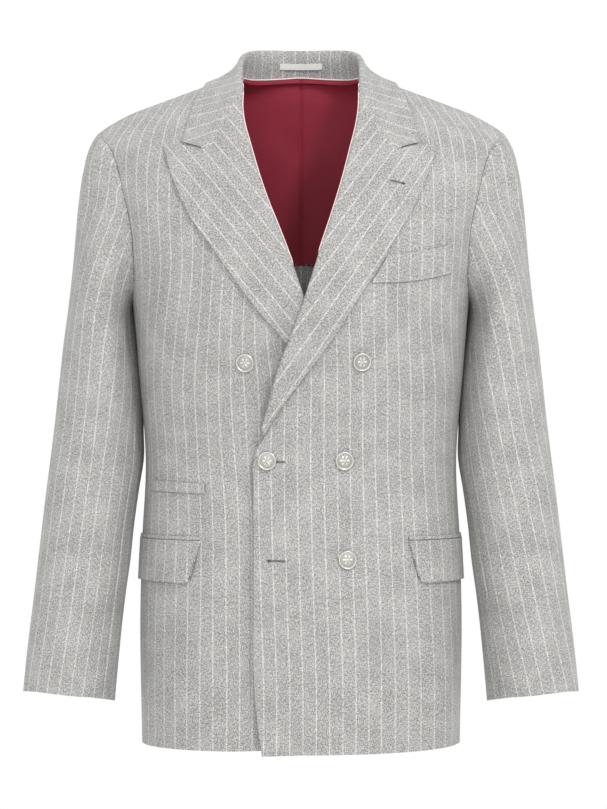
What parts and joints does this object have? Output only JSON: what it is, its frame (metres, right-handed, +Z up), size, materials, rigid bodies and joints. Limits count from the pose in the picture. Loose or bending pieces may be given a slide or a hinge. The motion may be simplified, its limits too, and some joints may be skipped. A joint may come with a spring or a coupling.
{
  "type": "double-breasted blazer",
  "caption": "Unstructured double-breasted blazer with peak lapels, flap pockets and metal buttons, hollow and filled out as if worn, open at neck, hem and cuffs.",
  "frame": {"origin": "nape: the middle of the back neck seam, where the wearer's neck and shoulders hold the garment", "axes": "+Z up, towards the collar; -Y towards the front opening; +X towards the wearer's left"},
  "size_m": [0.609, 0.2677, 0.7769],
  "materials": {
    "flannel": "soft light grey wool flannel with a white chalk stripe",
    "flannel_turned": "the same flannel on the turned lapels and collar",
    "satin_lining": "burgundy satin lining",
    "satin_tape": "light grey satin tape",
    "silver_metal": "worn silver-tone metal"
  },
  "bodies": {
    "root": {"front_left": "flannel", "front_right": "flannel", "side_left": "flannel", "side_right": "flannel", "back_left": "flannel", "back_right": "flannel", "top_sleeve_left": "flannel", "top_sleeve_right": "flannel", "under_sleeve_left": "flannel", "under_sleeve_right": "flannel", "lapel_left": "flannel_turned", "lapel_right": "flannel_turned", "collar": "flannel_turned", "breast_welt": "flannel", "ticket_welt": "flannel", "flap_left": "flannel", "flap_right": "flannel", "jet_left": "flannel", "jet_right": "flannel", "lining_left": "satin_lining", "lining_right": "satin_lining", "hanger_loop": "satin_tape", "button_top_right": "silver_metal", "button_top_left": "silver_metal", "button_middle_right": "silver_metal", "button_middle_left": "silver_metal", "button_low_left": "silver_metal"}
  },
  "joints": []
}
